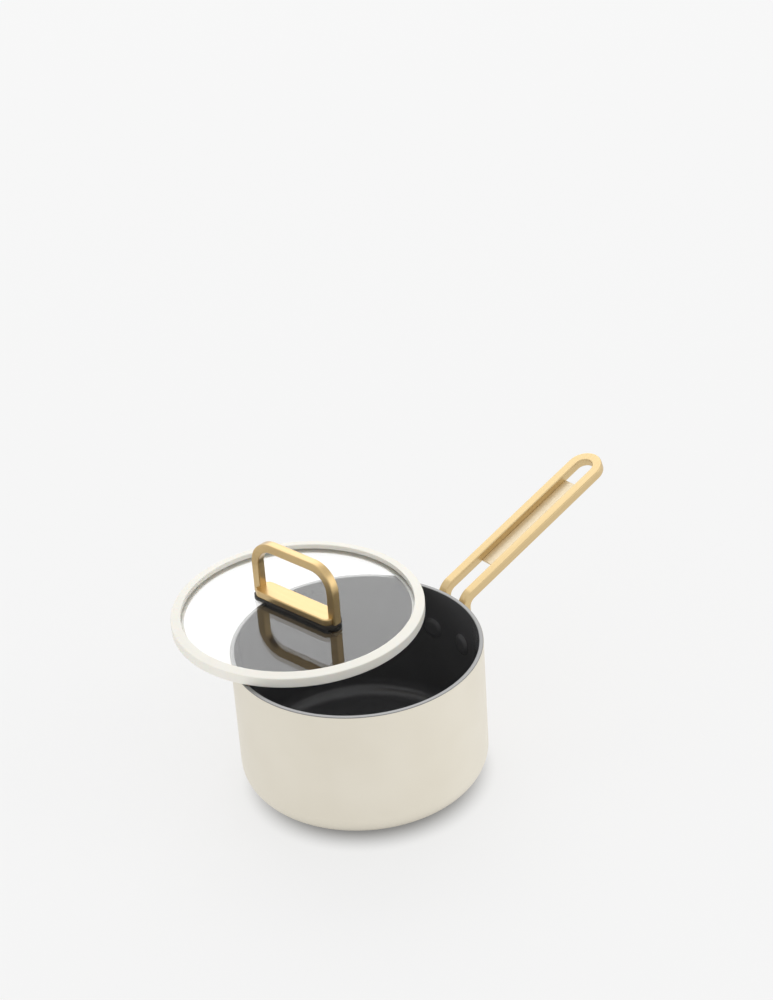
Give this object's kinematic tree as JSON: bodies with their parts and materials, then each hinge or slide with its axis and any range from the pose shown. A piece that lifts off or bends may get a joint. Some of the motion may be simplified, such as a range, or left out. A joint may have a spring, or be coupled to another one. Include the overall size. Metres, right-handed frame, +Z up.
{
  "type": "saucepan with glass lid",
  "caption": "Straight-sided saucepan with a long twin-bar handle and a flat glass lid that rests ajar and lifts off.",
  "frame": {"origin": "centre of the base, on the surface that the pan stands on", "axes": "+Z up along the pan's axis, +X along the pan handle, away from the pan"},
  "size_m": [0.3151, 0.2225, 0.1472],
  "materials": {
    "bare_metal": "bare turned aluminium",
    "cream_coat": "satin cream coat",
    "nonstick": "satin dark nonstick",
    "base_steel": "turned stainless steel",
    "gold": "satin gold plating",
    "gold_panel": "brushed gold plating",
    "rivet_metal": "dark coated heads",
    "cream_silicone": "matt cream silicone",
    "clear_glass": "polished clear tempered glass",
    "dark_silicone": "dark silicone",
    "screw_steel": "plain stainless steel"
  },
  "bodies": {
    "pan": {"pan_body": "bare_metal", "exterior_coat": "cream_coat", "nonstick_lining": "nonstick", "induction_disc": "base_steel", "pan_handle": "gold", "handle_panel": "gold_panel", "handle_bracket": "gold", "handle_rivets": "rivet_metal"},
    "lid": {"lid_rim": "cream_silicone", "lid_glass": "clear_glass", "lid_handle": "gold", "lid_gasket": "dark_silicone", "lid_screws": "screw_steel", "lid_washers": "screw_steel", "lid_pads": "dark_silicone", "lid_bushes": "dark_silicone"}
  },
  "joints": [
    {"name": "lid_lift", "type": "slide", "parent": "pan", "child": "lid", "axis": [0, 0, 1], "range_m": [0, 0.12]}
  ]
}
